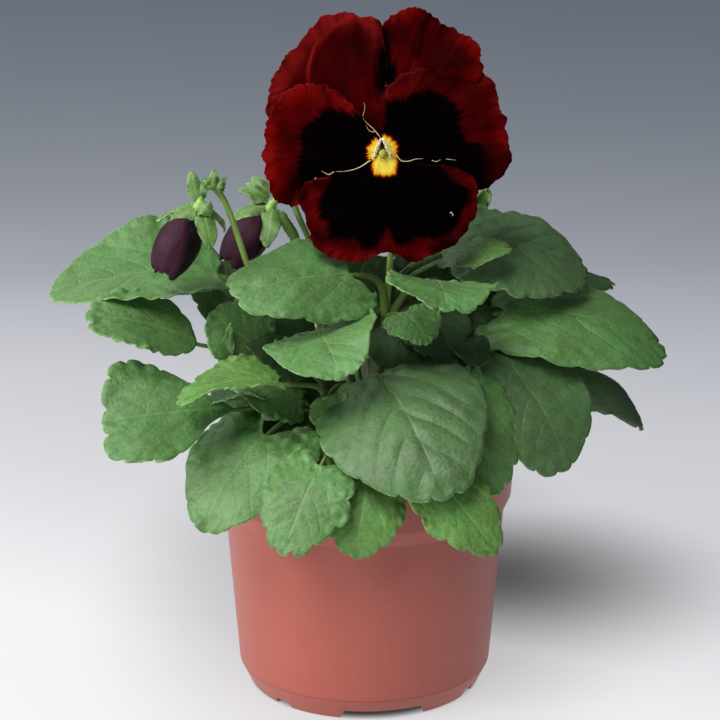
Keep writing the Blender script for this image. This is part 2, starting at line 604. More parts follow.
leaf_tops = {
    tone: leaf_material("leaf_" + tone, green, vein, roughness)
    for tone, (green, vein, roughness) in LEAF_TONES.items()
}
leaf_underside = leaf_material("leaf_underside", (112, 140, 98), (168, 190, 140), 0.6, vein_share=0.7,
                               relief=0.6)


def stem_skin(name, groove_tone, ridge_tone, patch_tone):
    """Material of a juicy stalk: fine lengthwise ridges, in patches of a darker green."""
    material, surface, place = new_material(name, 0.45)
    ribs = clouded(stretched(place, (900, 900, 60)), 1, 3)
    patches = ranged(clouded(place, 90, 3), 0.45, 0.75, 0, 0.6)
    feed(surface, {
        "Base Color": coated(mixed(ribs, groove_tone, ridge_tone), (patches, patch_tone)),
        "Normal": raised(ribs, 0.4, 0.0002),
        "Roughness": worked("MULTIPLY_ADD", ribs, 0.2, 0.35),
        "Subsurface Weight": 0.08,
        "Subsurface Scale": 0.001,
    })
    return material


leaf_stalk = stem_skin("leaf_stalk", (78, 112, 48), (132, 162, 82), (62, 90, 44))


def soft_step(value, start, end):
    part = min(max((value - start) / (end - start), 0), 1)
    return part * part * (3 - 2 * part)


def leaf_margin(angle, width, teeth, lobe=0.08, taper=0.2, point=0.0, cut=1.0, uneven=0.06):
    """Margin as fractions along and across: 0 at the tip, pi at the bay of the petiole."""
    from_bay = math.pi - abs(angle)
    bay = (lobe + 0.03) * math.exp(-((from_bay / 0.3) ** 2))
    along = 0.5 - lobe / 2 + (0.5 + lobe / 2) * math.cos(angle) + bay
    across = 0.5 * math.sin(angle) * (1 - taper * math.cos(angle)) * abs(math.sin(angle)) ** point
    bulge = noise.noise(Vector((1.5 * math.cos(angle), 1.5 * math.sin(angle), 1.7 * width)))
    swell = 1 + uneven * bulge * soft_step(from_bay, 0.1, 0.8)
    along, across = LEAF_CENTRE + (along - LEAF_CENTRE) * swell, across * swell
    if not teeth:
        return along, across
    turns = angle * teeth / (2 * math.pi) + teeth + 0.5
    turns += 0.3 * noise.noise(Vector((0.7 * turns, width, 0)))
    phase = turns % 1
    forwards = phase if angle < 0 else 1 - phase
    strength = cut * (0.85 + 0.9 * noise.noise(Vector((3.7 * math.floor(turns), width, 5))))
    notch = math.exp(-(((phase + 0.5) % 1 - 0.5) / 0.08) ** 2)
    tooth = (4 * phase * (1 - phase)) ** 0.6 + 0.5 * forwards ** 2 - 0.7 - 0.35 * notch
    depth = min(TOOTH_DEPTH / width, TOOTH_SHARE)
    grown = 1 + depth * max(strength, 0.25) * tooth * soft_step(from_bay, 0.3, 1.2)
    return LEAF_CENTRE + (along - LEAF_CENTRE) * grown, across * grown


def blade_frame(details):
    """Start, length and the forward, side and up directions of a blade."""
    start = Vector(details["base"])
    chord = Vector(details["tip"]) - start
    forward = chord.normalized()
    side = forward.cross(Vector(details["face"])).normalized()
    return start, chord.length, forward, side, side.cross(forward)


def vein_count(along, across, seed):
    """How many side veins lie between the petiole and this point: a vein runs at each whole number."""
    side = abs(across)
    past = along - 0.5 * side - 2.2 * side * side - 0.03
    drift = 0.14 * noise.noise(Vector((3 * along, 3 * across, seed)))
    if past < 0:
        return 1.35 * past / (side + 0.02) + drift
    lean = 0.3 * math.tanh(25 * across) * min(past / 0.1, 1)
    return past / VEIN_SPACING + lean + drift


def blade_point(details, along, across, quilt):
    """A point of a blade's middle surface: bowed, cupped, waved at the margin, and quilted by veins."""
    start, length, forward, side, up = blade_frame(details)
    arch, cup = details["bow"]
    tip = details["tip"]
    edge = abs(2 * across)
    ripple = details.get("ripple", MARGIN_WAVE)
    wave = ripple * edge ** 2 * math.sin(9 * along + tip[0] + tip[1] + 2 * (across > 0) - 2 * (across < 0))
    reach = max(edge, abs(2 * along - 1)) ** 4
    wave += 1.3 * ripple * reach * noise.noise(Vector((14 * along, 14 * across, tip[0])))
    rise = 4 * arch * along * (1 - along) + cup * edge ** 2 + wave + quilt
    return start + forward * length * along + side * details["width"] * across + up * rise


def quilting(details, along, across, outward, count):
    """Millimetres that the tissue stands up between its veins, which lie in narrow valleys."""
    width = details["width"]
    pillow = abs(math.sin(math.pi * count)) ** 0.65
    calm = (1 - outward ** 3) * details.get("ribs", 0.5)
    valley = 0.013 * width * math.exp(-((across * width / (0.8 + 0.02 * width)) ** 2)) * (1 - 0.6 * along)
    spot = Vector((across * width, along * width, tip_seed(details)))
    puckers = sum(height * noise.noise(spot * fineness) for height, fineness in PUCKERS)
    return calm * (0.014 * width * (pillow - 0.6) - valley) + puckers * min(width / 30, 1)


def tip_seed(details):
    return 0.37 * sum(details["tip"])


def turn_to(sheet, way):
    """Closes a sheet's seams and turns its front the given way."""
    closed_up(sheet)
    if sum(face.normal.dot(way) for face in sheet.faces) < 0:
        bmesh.ops.reverse_faces(sheet, faces=sheet.faces)


def leaf_sheet(details, columns, rings, teeth):
    """A blade as a sheet of rings round its middle, with its blade attribute."""
    seed = tip_seed(details)
    width = details["width"]
    shape = {key: details[key] for key in ("lobe", "taper", "point", "cut", "uneven") if key in details}
    notes = {}

    def place(around, outward):
        angle = 2 * math.pi * around - math.pi
        spread = outward ** 0.85
        along, across = leaf_margin(angle, width, teeth * (outward > 0.999), **shape)
        if 0.9 < outward <= 0.999:
            toothed = leaf_margin(angle, width, teeth, **shape)
            share = (outward - 0.9) / 0.1
            along, across = (plain + share * (cut - plain) for plain, cut in zip((along, across), toothed))
        along = LEAF_CENTRE + (along - LEAF_CENTRE) * spread
        across = across * spread
        count = vein_count(along, across, seed)
        point = blade_point(details, along, across, quilting(details, along, across, outward, count))
        notes[tuple(round(part, 3) for part in point)] = Vector((count, across * width, outward))
        return point

    sheet = laid_grid(columns, rings, place)
    layer = sheet.verts.layers.float_vector.new("blade")
    for corner in sheet.verts:
        corner[layer] = notes[tuple(round(part, 3) for part in corner.co)]
    turn_to(sheet, blade_frame(details)[4])
    return sheet


def smooth_path(points, count, closed=False):
    """Points at even steps along a smooth centripetal curve through the given ones."""
    points = [Vector(point) for point in points]
    total = len(points)
    if closed:
        ends = [points[-1], *points, points[0], points[1]]
    else:
        ends = [2 * points[0] - points[1], *points, 2 * points[-1] - points[-2]]
    dense = []
    for i in range(total if closed else total - 1):
        before, here, there, after = ends[i:i + 4]
        strides = (here - before, there - here, after - there)
        first, second, third = [max(stride.length, 1e-4) ** 0.5 for stride in strides]
        leave = strides[0] / first - (there - before) / (first + second) + strides[1] / second
        arrive = strides[1] / second - (after - here) / (second + third) + strides[2] / third
        leave, arrive = leave * second, arrive * second
        for step in range(STEPS_BETWEEN):
            t = step / STEPS_BETWEEN
            dense.append(here + leave * t + (3 * (there - here) - 2 * leave - arrive) * t * t
                         + (2 * (here - there) + leave + arrive) * t ** 3)
    dense.append(dense[0] if closed else points[-1])
    lengths = [0.0]
    for a, b in zip(dense, dense[1:]):
        lengths.append(lengths[-1] + (b - a).length)
    path, j = [], 0
    for i in range(count + 1):
        wanted = lengths[-1] * i / count
        while j < len(dense) - 2 and lengths[j + 1] < wanted:
            j += 1
        share = (wanted - lengths[j]) / max(lengths[j + 1] - lengths[j], 1e-6)
        path.append(dense[j].lerp(dense[j + 1], min(max(share, 0), 1)))
    return path


def add_stalk(shape, points, radii, steps=16, sides=10):
    """Adds a round closed stalk along a smooth path, its radius eased between the given ones."""
    path = smooth_path(points, steps)
    normal = (path[1] - path[0]).orthogonal().normalized()
    frames = []
    for i, point in enumerate(path):
        ahead = path[min(i + 1, steps)] - path[max(i - 1, 0)]
        normal = (normal - normal.project(ahead)).normalized()
        frames.append((point, normal, ahead.cross(normal).normalized()))

    def place(along, around):
        i = round(along * steps)
        part = i / steps
        low = min(int(part * (len(radii) - 1)), len(radii) - 2)
        share = part * (len(radii) - 1) - low
        radius = radii[low] + (radii[low + 1] - radii[low]) * share
        point, first, second = frames[i]
        angle = 2 * math.pi * around
        return point + (first * math.cos(angle) + second * math.sin(angle)) * radius

    tube = laid_grid(steps, sides, place)
    bmesh.ops.remove_doubles(tube, verts=tube.verts, dist=0.002)
    bmesh.ops.holes_fill(tube, edges=[edge for edge in tube.edges if edge.is_boundary], sides=0)
    bmesh.ops.recalc_face_normals(tube, faces=tube.faces)
    join(shape, tube)


def join(shape, part):
    """Adds one shape's mesh to another."""
    held = bpy.data.meshes.new("held")
    part.to_mesh(held)
    part.free()
    shape.from_mesh(held)
    bpy.data.meshes.remove(held)


def thicken(piece, thickness):
    wall = piece.modifiers.new("thickness", "SOLIDIFY")
    wall.thickness = thickness * MM
    wall.offset = 0
    wall.material_offset = 1


def fine_leaf(width):
    """Columns, rings and teeth for a leaf of this width."""
    if width > 36:
        return 216, 22, 15
    return (168, 17, 12) if width > 18 else (96, 11, 8)


for name, leaves in LEAVES.items():
    curve = smooth_path(STEM_PATHS[name], STEM_STEPS)
    wood = bmesh.new()
    stem = [curve[0] + STEM_FOOT, curve[0], curve[STEM_STEPS // 2], curve[-1]]
    add_stalk(wood, stem, STEM_RADII, steps=20, sides=12)
    for number, (*measures, form) in enumerate(leaves, 1):
        details = dict(zip(LEAF_MEASURES, measures), **form)
        sheet = leaf_sheet(details, *fine_leaf(details["width"]))
        tops = [leaf_tops[details["tone"]], leaf_underside]
        blade_piece = show(f"{name}_leaf_{number}", sheet, tops, "leaf", name)
        thicken(blade_piece, BLADE_THICKNESS)
        keel = []
        for along, sink in KEEL_SINKS:
            quilt = quilting(details, along, 0, abs(along - LEAF_CENTRE) / 0.6, 0.5)
            keel.append(blade_point(details, along, 0, quilt - sink))
        origin = curve[round(details["start"] * STEM_STEPS)]
        reach = (origin - keel[0]).length
        arrive = keel[0] - (keel[1] - keel[0]).normalized() * 0.35 * reach
        leave = origin + Vector((0, 0, 0.3 * reach))
        bend = leave.lerp(arrive, 0.6)
        thick = PETIOLE_RADIUS * (0.75 if details["width"] < 20 else 1)
        add_stalk(wood, [origin, bend, *keel], [1.25 * thick, thick, 0.75, 0.5, 0.2], steps=28)
    show(f"{name}_stalks", wood, [leaf_stalk], "leaf", name)


# Flower stalks: bright green, hooked over at the top, with two small bracts under the left bud. The
# sepals are paler than the leaves, thin and pointed, and clasp each bud; five more stand behind the
# bloom round its short spur.
FLOWER_STALKS = {
    "stem_left": {
        "stalk": [
            (-32, -18, 130), (-38, -25, 151), (-42.3, -31, 166.6), (-45.2, -34, 173.4), (-48, -36.2, 176),
            (-50.4, -37.4, 174.6), (-50.9, -38, 171),
        ],
        "axis": (-12, -4, -22),
        "sepals": [
            ((-64.5, -38, 165), 4, (-0.4, -0.3, 1)), ((-61, -43, 162), 6.2, (-0.4, -1, 0.5)),
            ((-47.5, -43.5, 157.5), 6.6, (0.3, -1, 0.2)), ((-58, -29, 160), 5, None),
            ((-44, -32, 162), 5, None),
        ],
        "bracts": [
            ((-46.8, -36, 174.5), (-46.4, -37, 181.5), 3), ((-46.2, -36, 174.5), (-43, -36, 178.5), 2.4),
            ((-46, -35.6, 174), (-43.6, -35, 175.8), 2), ((-48, -36, 175.5), (-50.4, -36.5, 178.5), 2.2),
            ((-51.5, -38, 171), (-53.6, -37, 180.8), 4.6), ((-51, -37.6, 172), (-49.6, -37, 177.5), 3.2),
            ((-50.6, -39.5, 171), (-47.4, -40.6, 167.6), 5),
        ],
    },
    "stem_rear_left": {
        "stalk": [(-16, 8, 132), (-17, -4, 150), (-20.4, -9, 160), (-26, -12, 171), (-30, -13, 167.7)],
        "axis": (-14.7, -2, -19.6),
        "sepals": [
            ((-41, -12, 172), 5.5, (0, -0.6, 1)), ((-43, -15.5, 163), 5.6, (-0.2, -0.8, 0.7)),
            ((-31.5, -20.5, 154), 7.4, (-0.1, -1, 0.3)), ((-36, -3, 158), 5, None),
            ((-24.3, -10, 155.5), 5, None), ((-21, -14, 154), 3.6, (0.4, -0.9, 0.1)),
        ],
        "bracts": [((-31, -12, 169.5), (-36.5, -9, 176), 5), ((-31, -12.5, 169), (-39, -12, 174), 4)],
    },
    "stem_bloom": {
        "stalk": [(8, -13, 145), (9, -12, 165), (8, -11, 183), (6.3, -14, 191), (5.5, -18.5, 189.5)],
        "axis": None,
        "sepals": [],
        "bracts": [],
    },
}
EYE = Vector((5.3, -30, 186))
BUD_SEAT = 0.16
BLOOM_SEPALS = 5
SEPAL_CIRCLE = 17
SEPAL_BASE_Y = -21.6
SEPAL_TIP_Y = -23.6
SEPAL_THICKNESS = 0.4
SEPAL_COLUMNS = 56
SEPAL_RINGS = 9
FLOWER_STALK_RADII = [1.25, 1.1, 1.0, 0.98, 1.0, 1.2]
SPUR_TIP = Vector((EYE.x, -17, 183.5))
flower_stalk = stem_skin("flower_stalk", (122, 168, 70), (186, 220, 122), (108, 148, 66))
sepal_form = dict(vein_share=0.2, relief=0.4, rib_share=0.15, rim=0.72)
sepal_top = leaf_material("sepal", (92, 132, 62), (144, 178, 104), 0.5, **sepal_form)
sepal_underside = leaf_material("sepal_underside", (94, 126, 74), (144, 170, 112), 0.55, **sepal_form)


def narrow_blade(base, tip, width, away):
    """A pointed blade, such as a sepal or a bract, with its outer side looking away."""
    details = dict(base=base, tip=tip, width=width, face=away, bow=(1.6, -0.9), ripple=0.8,
                   lobe=0, taper=0.15, point=0.45, uneven=0.16, ribs=0.12)
    return leaf_sheet(details, SEPAL_COLUMNS, SEPAL_RINGS, 0)


def towards(start, end, distance):
    start, end = Vector(start), Vector(end)
    return start + (end - start).normalized() * distance


def add_ball(shape, place, radius):
    bmesh.ops.create_uvsphere(shape, u_segments=16, v_segments=10, radius=radius,
                              matrix=Matrix.Translation(place))


for name, flower in FLOWER_STALKS.items():
    points = flower["stalk"]
    neck = Vector(points[-1])
    stalk = bmesh.new()
    top = smooth_path(STEM_PATHS[name], STEM_STEPS)[-1]
    add_stalk(stalk, [top, *points], FLOWER_STALK_RADII, steps=80, sides=12)
    add_ball(stalk, neck, 1.5)
    leaves = bmesh.new()
    if flower["axis"]:
        axis = Vector(flower["axis"])
        seat = neck + axis * BUD_SEAT
        add_stalk(stalk, [neck, neck.lerp(seat, 0.5), seat], [1.5, 1.7, 1.6], steps=4, sides=12)
        for tip, width, away in flower["sepals"]:
            reach = Vector(tip) - neck
            outward = away or reach - reach.project(axis)
            join(leaves, narrow_blade(towards(neck, tip, 1.4), tip, width, outward))
    for base, tip, width in flower["bracts"]:
        join(leaves, narrow_blade(base, tip, width, (0, -1, 0.3)))
    if name == "stem_bloom":
        centre = Vector((EYE.x, SEPAL_BASE_Y, EYE.z))
        for i in range(BLOOM_SEPALS):
            angle = 2 * math.pi * i / BLOOM_SEPALS + math.pi / 2
            right, up = SEPAL_CIRCLE * math.cos(angle), SEPAL_CIRCLE * math.sin(angle)
            tip = Vector((EYE.x + right, SEPAL_TIP_Y, EYE.z + up))
            join(leaves, narrow_blade(towards(centre, tip, 1.2), tip, 7, (0, 1, 0)))
        add_ball(stalk, centre, 2.6)
        add_stalk(stalk, [centre, centre.lerp(SPUR_TIP, 0.6), SPUR_TIP], [2.2, 1.9, 1.5], steps=6, sides=12)
    show(f"{name}_flower_stalk", stalk, [flower_stalk], "leaf", name)
    sepals = show(f"{name}_sepals", leaves, [sepal_top, sepal_underside], "leaf", name)
    thicken(sepals, SEPAL_THICKNESS)


# Bloom: five overlapping velvety petals, dark red, brighter and a little purple towards their frilled
# margins. The side and lower petals carry a feathered black blotch, and a yellow patch at the eye.
# Outlines are millimetres right and up from the eye; layer is how far a petal lies in front.
REAR_PETAL_Y = -26
PETALS = {
    "rear_left": {
        "layer": 0,
        "outline": [
            (-1, 1), (-13, 8), (-29, 5), (-35.5, 10), (-35.5, 18), (-31.5, 27), (-26.5, 32.5),
            (-21.5, 38.5), (-17.5, 41.5), (-11, 42.3), (-5, 41), (-0.5, 39.5), (1, 32), (1.5, 19), (1, 8),
        ],
        "blotch": [(0, 31), (1.2, 30), (1.6, 20), (-0.6, 19), (-1, 25)],
        "strokes": [
            ([(-14.4, 37), (-19.5, 30.5), (-21.3, 25), (-21.8, 18)], 0.9, 0.6),
            ([(-15.8, 39), (-21, 32), (-22.9, 26), (-23.4, 18)], 0.6, -1),
            ([(-5, 38), (-10, 29), (-13, 20)], 8, 0.42), ([(0, 38), (-1, 28), (-0.5, 18)], 2.6, 0.7),
            ([(-30, 14), (-22, 19)], 4, 0.4), ([(-33, 22), (-31, 26)], 3, 0.25),
            ([(-6, 41.5), (-15, 40.5), (-20, 36)], 3.2, -0.8),
            ([(-26, 30), (-31, 22), (-34, 13)], 3.5, -0.6),
        ],
        "fold": [(-2.4, 46), (-14.8, 37.8), (-19.9, 31.3), (-21.7, 25.7), (-22.2, 10), (2, 5), (4, 46)],
    },
    "rear_right": {
        "layer": 1.3,
        "outline": [
            (1, 1), (0.5, 10), (0.5, 22), (-0.5, 33), (0.3, 40), (4.5, 42.6), (9.5, 44), (13.5, 43.4),
            (18, 39.6), (24.5, 36.2), (30, 33), (31, 28), (30, 20), (27, 12), (15, 6),
        ],
        "blotch": [(-0.5, 32), (1.2, 31), (3.4, 27), (4, 23.5), (1.2, 18), (-0.5, 20)],
        "strokes": [
            ([(12.4, 39.5), (11.4, 36), (10, 29)], 1.8, 0.7), ([(0.5, 36), (1.5, 24)], 2.2, 0.75),
            ([(5.5, 40), (6, 30)], 1.6, 0.3), ([(20, 37), (19, 30), (16, 26)], 2.8, 0.4),
            ([(28, 28), (20, 27)], 3, 0.45), ([(23, 35), (28, 33)], 3, -0.5),
        ],
        "fold": [(12.4, 46), (11.4, 36), (9, 24), (40, 20), (40, 46)],
    },
    "side_left": {
        "layer": 2.7,
        "outline": [
            (-0.5, 1.5), (-4, 9), (-9.5, 14.5), (-14, 18.5), (-20, 21), (-26, 20), (-32, 16), (-35.5, 11),
            (-36.7, 4), (-37, -3), (-36, -11), (-34, -16), (-29, -17.4), (-24, -17), (-15, -11), (-5, -6),
        ],
        "blotch": [
            (-0.6, 1), (-3.2, 6.3), (-5.6, 9.4), (-9.2, 11.8), (-15.2, 12.6), (-19.3, 11.8), (-21.7, 8.7),
            (-24.7, 5.7), (-25.3, 0.3), (-25.9, -4), (-25.3, -11), (-20, -17), (-9, -12), (0, -6),
        ],
        "strokes": [
            ([(-30, -17), (-27, -9)], 3, 0.7), ([(-18, 19), (-16, 14)], 1.6, 0.6),
            ([(-36, 4), (-30, 2)], 1.6, 0.3), ([(-26, 12), (-22, 9)], 3, 0.3),
            ([(-35, 10), (-36.4, -4), (-34, -12)], 2.6, -0.8),
        ],
    },
    "side_right": {
        "layer": 2.9,
        "outline": [
            (0.5, 1.5), (0.8, 9), (1, 16), (2, 20.5), (6, 23.5), (13.5, 26), (23, 26.5), (30.5, 24.5),
            (35, 22), (36.5, 16), (38.5, 10), (39.2, 4), (40.3, -2), (37.5, -8), (32, -12), (24, -12),
            (6, -6),
        ],
        "blotch": [
            (0, 1), (0.2, 15.2), (6.3, 15.1), (8.1, 16.6), (12.2, 17.5), (14.6, 19), (17.6, 16.9),
            (21.8, 15.1), (23.9, 11.8), (24.5, 5.7), (26.5, 1.8), (30.7, 1.2), (31.5, -3), (30, -12),
            (20, -10), (8, -8),
        ],
        "strokes": [
            ([(31, -2), (34, -9), (31, -11)], 4.2, 0.85), ([(3, 19), (4, 23)], 2, 0.5),
            ([(24, 20), (30, 22)], 3, 0.3), ([(6, 22), (13, 24)], 2.6, 0.55),
            ([(33, 8), (37, 9)], 1.5, 0.35), ([(37, 12), (38.6, 4)], 2.4, -0.4),
            ([(33, 19), (34, 14)], 2.6, 0.35),
        ],
    },
    "lower": {
        "layer": 4.3,
        "outline": [
            (0, -1), (-8.5, -4.5), (-16, -6.5), (-23, -9), (-26, -14), (-25, -20), (-23, -26), (-19, -31),
            (-11.5, -35.2), (-4.5, -34.5), (2.5, -31.2), (7.5, -34), (12, -34.5), (18, -32), (25, -27.5),
            (29, -21), (30.5, -14), (29.5, -8), (23, -4.7), (12, -3.2),
        ],
        "blotch": [
            (0, 2), (-14, -3), (-15.8, -8.2), (-17.5, -12.4), (-19.3, -16.1), (-19.3, -19.7), (-17, -22.7),
            (-16.4, -26.4), (-12.8, -27), (-8.6, -27.3), (-5.6, -30), (-3.2, -30), (-0.3, -27.6),
            (1.2, -23), (3.3, -24.6), (4.5, -28.2), (8.1, -28.2), (12.2, -27), (17.6, -26.4), (22.2, -24),
            (24.6, -20.9), (26.6, -15.5), (26.4, -11.8), (23.6, -8.8), (19.4, -6.4), (17, -2),
        ],
        "strokes": [
            ([(-21, -10), (-14, -9)], 2, 0.6), ([(-25, -14), (-23, -22), (-19, -28)], 2.6, 0.55),
            ([(22, -6), (27, -10), (28, -15)], 2.4, 0.6), ([(28, -22), (24, -27), (17, -31)], 3, 0.75),
            ([(-16, -32), (-8, -34)], 2.2, -0.6), ([(1, -28), (12, -33)], 2, -0.4),
        ],
    },
}
YELLOW_PATCHES = {
    "lower": [
        (-2.9, -0.5), (-2.9, -4), (-2.2, -6.8), (0.8, -7.3), (3.8, -6.8), (4.4, -4), (4.5, -0.5), (0, 1),
    ],
    "side_left": [(0, 4.8), (-2.2, 3.6), (-4.4, 1.2), (-4.3, -1), (-3.4, -4.2), (0, -4)],
    "side_right": [(0.2, 4.8), (2.8, 3.9), (4.5, 1.8), (4.4, -2.2), (3, -4), (0, -4)],
}

PETAL_REDS = {
    "rear_left": ((66, 1, 2), (122, 20, 18)),
    "rear_right": ((68, 1, 2), (104, 8, 5)),
    "side_left": ((76, 1, 2), (114, 9, 6)),
    "side_right": ((64, 1, 2), (100, 7, 5)),
    "lower": ((62, 1, 3), (102, 7, 6)),
}
PETAL_COLUMNS = 260
PETAL_RINGS = 26
PETAL_THICKNESS = 0.4
BLOTCH_STEPS = 90
FRILLS = ((1.3, 5), (0.7, 14), (0.3, 34))
FOLD_DEPTH = 1.6
PETAL_REACH = 40
FAR_OUTSIDE = -9

# Velvet: red that deepens inwards, streaked along rays from the eye; the blotch's and the yellow
# patch's edges feather along the same rays. The petal attribute holds the millimetres inside the
# blotch, how far out a point is (0-1), and the millimetres inside the yellow patch.
velvet, given, made = effect_group(
    "velvet",
    {"Petal": "Vector", "Place": "Vector", "Red": "Color", "Margin Red": "Color", "Shade": "Float"},
    {"Color": "Color", "Height": "Float"},
)
petal = wired(velvet, "SeparateXYZ", {0: given["Petal"]}).outputs
flat_place = worked_place("MULTIPLY", worked_place("SUBTRACT", given["Place"], EYE * MM), (1, 0, 1))
from_eye = worked_place("LENGTH", flat_place, result="Value")
ray = worked_place("NORMALIZE", flat_place)


def ray_noise(fineness, drift):
    """Noise drawn out along rays from the eye."""
    shift = wired(ray, "CombineXYZ", {"Y": worked("MULTIPLY", from_eye, drift)}).outputs[0]
    return clouded(worked_place("ADD", worked_place("MULTIPLY", ray, (fineness,) * 3), shift), 1, 3)


coarse_rays = ray_noise(9, 60)
fine_rays = ray_noise(26, 120)
broad = clouded(given["Place"], 95, 5)
nap = clouded(given["Place"], 2200)
lit = worked("MULTIPLY", ranged(petal["Y"], 0.55, 1), ranged(broad, 0.35, 0.6))
depths = worked("MULTIPLY_ADD", fine_rays, 0.2, worked("MULTIPLY", broad, 1.3))
purple = worked("MULTIPLY", ranged(broad, 0.5, 0.68), ranged(petal["Y"], 0.8, 1))
uneven = worked("SUBTRACT", fine_rays, 0.5)
feather = worked("MULTIPLY_ADD", uneven, 4.5, worked("MULTIPLY_ADD", coarse_rays, 4, -2))
rim = worked("MULTIPLY", ranged(petal["Y"], 0.982, 1), ranged(broad, 0.42, 0.62))
in_patch = worked("MULTIPLY_ADD", uneven, 2.6, petal["Z"])
tone = coated(
    mixed(lit, given["Red"], given["Margin Red"]),
    (ranged(depths, 0.86, 0.6, 0, 0.62), (34, 0, 1)),
    (ranged(given["Shade"], 0, -1), given["Margin Red"]),
    (ranged(given["Shade"], 0, 1), (14, 0, 1)),
    (worked("MULTIPLY", purple, 0.3), (70, 12, 34)),
    (ranged(worked("ADD", petal["X"], feather), -1.9, 0.6), (3, 0, 1)),
    (worked("MULTIPLY", rim, 0.35), (140, 40, 40)),
    (ranged(in_patch, -0.9, -0.2), (150, 40, 8)),
    (ranged(in_patch, -0.35, 0.1), (244, 176, 24)),
    (ranged(in_patch, 0, 1.2), (252, 226, 84)),
)
level = worked("MULTIPLY_ADD", fine_rays, 2, worked("MULTIPLY", coarse_rays, 2))
feed(made, {"Color": tone, "Height": worked("MULTIPLY_ADD", nap, 0.7, level)})


def petal_material(name, red, margin_red):
    material, surface, place = new_material(name, 0.62)
    cover = wired(place, "Group", {
        "Petal": wired(place, "Attribute", attribute_name="petal").outputs["Vector"], "Place": place,
        "Red": colour(*red), "Margin Red": colour(*margin_red),
        "Shade": wired(place, "Attribute", attribute_name="shade").outputs["Fac"],
    }, node_tree=velvet).outputs
    feed(surface, {
        "Base Color": cover["Color"],
        "Normal": raised(cover["Height"], 0.5, 0.0003),
        "Specular IOR Level": 0.01,
        "Sheen Weight": 0.03,
        "Sheen Roughness": 0.35,
        "Sheen Tint": (0.6, 0.02, 0.04, 1),
    })
    return material


petal_fronts = {name: petal_material("petal_" + name, *reds) for name, reds in PETAL_REDS.items()}
petal_back = petal_material("petal_back", (92, 14, 20), (112, 26, 34))


def off_line(point, line):
    """Millimetres from a point to a line."""
    x, y = point
    nearest = 1e9
    for (x0, y0), (x1, y1) in zip(line, line[1:]):
        run, rise = x1 - x0, y1 - y0
        share = min(max(((x - x0) * run + (y - y0) * rise) / (run * run + rise * rise), 0), 1)
        nearest = min(nearest, math.hypot(x - x0 - share * run, y - y0 - share * rise))
    return nearest


def inside_by(point, outline):
    """Millimetres from a point to an outline, positive inside it."""
    x, y = point
    closed = [*outline, outline[0]]
    inside = False
    for (x0, y0), (x1, y1) in zip(closed, closed[1:]):
        if (y0 > y) != (y1 > y) and x < x0 + (y - y0) * (x1 - x0) / (y1 - y0):
            inside = not inside
    return off_line(point, closed) * (1 if inside else -1)


def petal_front(right, up, layer):
    """Y of a petal's middle surface: dished, waved towards its margin, finely creased along rays."""
    reach = math.hypot(right, up) / PETAL_REACH
    angle = math.atan2(up, right)
    wave = 1.1 * reach ** 3 * math.sin(11 * angle + 2 * layer)
    swell = noise.noise(Vector((2.6 * math.cos(angle), 2.6 * math.sin(angle), 2.2 * reach + layer)))
    crease = noise.noise(Vector((8 * math.cos(angle), 8 * math.sin(angle), 1.5 * reach + layer)))
    pleat = noise.noise(Vector((24 * math.cos(angle), 24 * math.sin(angle), 1.2 * reach - layer)))
    folds = 1.8 * reach * swell + 1.0 * reach ** 2 * crease + 0.28 * reach ** 2 * pleat
    return REAR_PETAL_Y - layer + 1.2 * reach ** 2 + wave + folds


for name, details in PETALS.items():
    layer = details["layer"]
    outline = details["outline"]
    middle = Vector((sum(right for right, up in outline), sum(up for right, up in outline))) / len(outline)
    margin = smooth_path([(right, up, 0) for right, up in outline], PETAL_COLUMNS, closed=True)
    blotch_edge = smooth_path([(*corner, 0) for corner in details["blotch"]], BLOTCH_STEPS, closed=True)
    blotch = [(point.x, point.y) for point in blotch_edge[:-1]]
    patch = YELLOW_PATCHES.get(name)

    def petal_place(around, outward):
        i = round(around * PETAL_COLUMNS) % PETAL_COLUMNS
        edge = Vector((margin[i].x, margin[i].y)) - middle
        turn = Vector((math.cos(2 * math.pi * around), math.sin(2 * math.pi * around), layer))
        frill = sum(height * noise.noise(turn * fineness) for height, fineness in FRILLS) - 0.2
        spread = outward ** 0.8
        right, up = middle + edge * spread * (1 + frill * outward ** 10 / max(edge.length, 4))
        out_of_eye = soft_step(math.hypot(right, up), 8, 20)
        front = petal_front(right, up, layer) + 0.8 * out_of_eye * frill * outward ** 6
        if "fold" in details:
            front -= FOLD_DEPTH * soft_step(inside_by((right, up), details["fold"]), -0.5, 0.5)
        return Vector((EYE.x + right, front, EYE.z + up))

    sheet = laid_grid(PETAL_COLUMNS, PETAL_RINGS, petal_place)
    layer_of = sheet.verts.layers.float_vector.new("petal")
    shade_of = sheet.verts.layers.float.new("shade")
    for i, corner in enumerate(sheet.verts):
        spot = (corner.co.x - EYE.x, corner.co.z - EYE.z)
        yellow = inside_by(spot, patch) if patch else FAR_OUTSIDE
        outward = (i // (PETAL_COLUMNS + 1)) / PETAL_RINGS
        corner[layer_of] = Vector((inside_by(spot, blotch), outward, yellow))
        cover = [power * math.exp(-((off_line(spot, line) / width) ** 2))
                 for line, width, power in details["strokes"]]
        corner[shade_of] = max(0, *cover) + min(0, *cover)
    turn_to(sheet, Vector((0, -1, 0)))
    petal_piece = show("petal_" + name, sheet, [petal_fronts[name], petal_back], "petal", "bloom_petals")
    thicken(petal_piece, PETAL_THICKNESS)


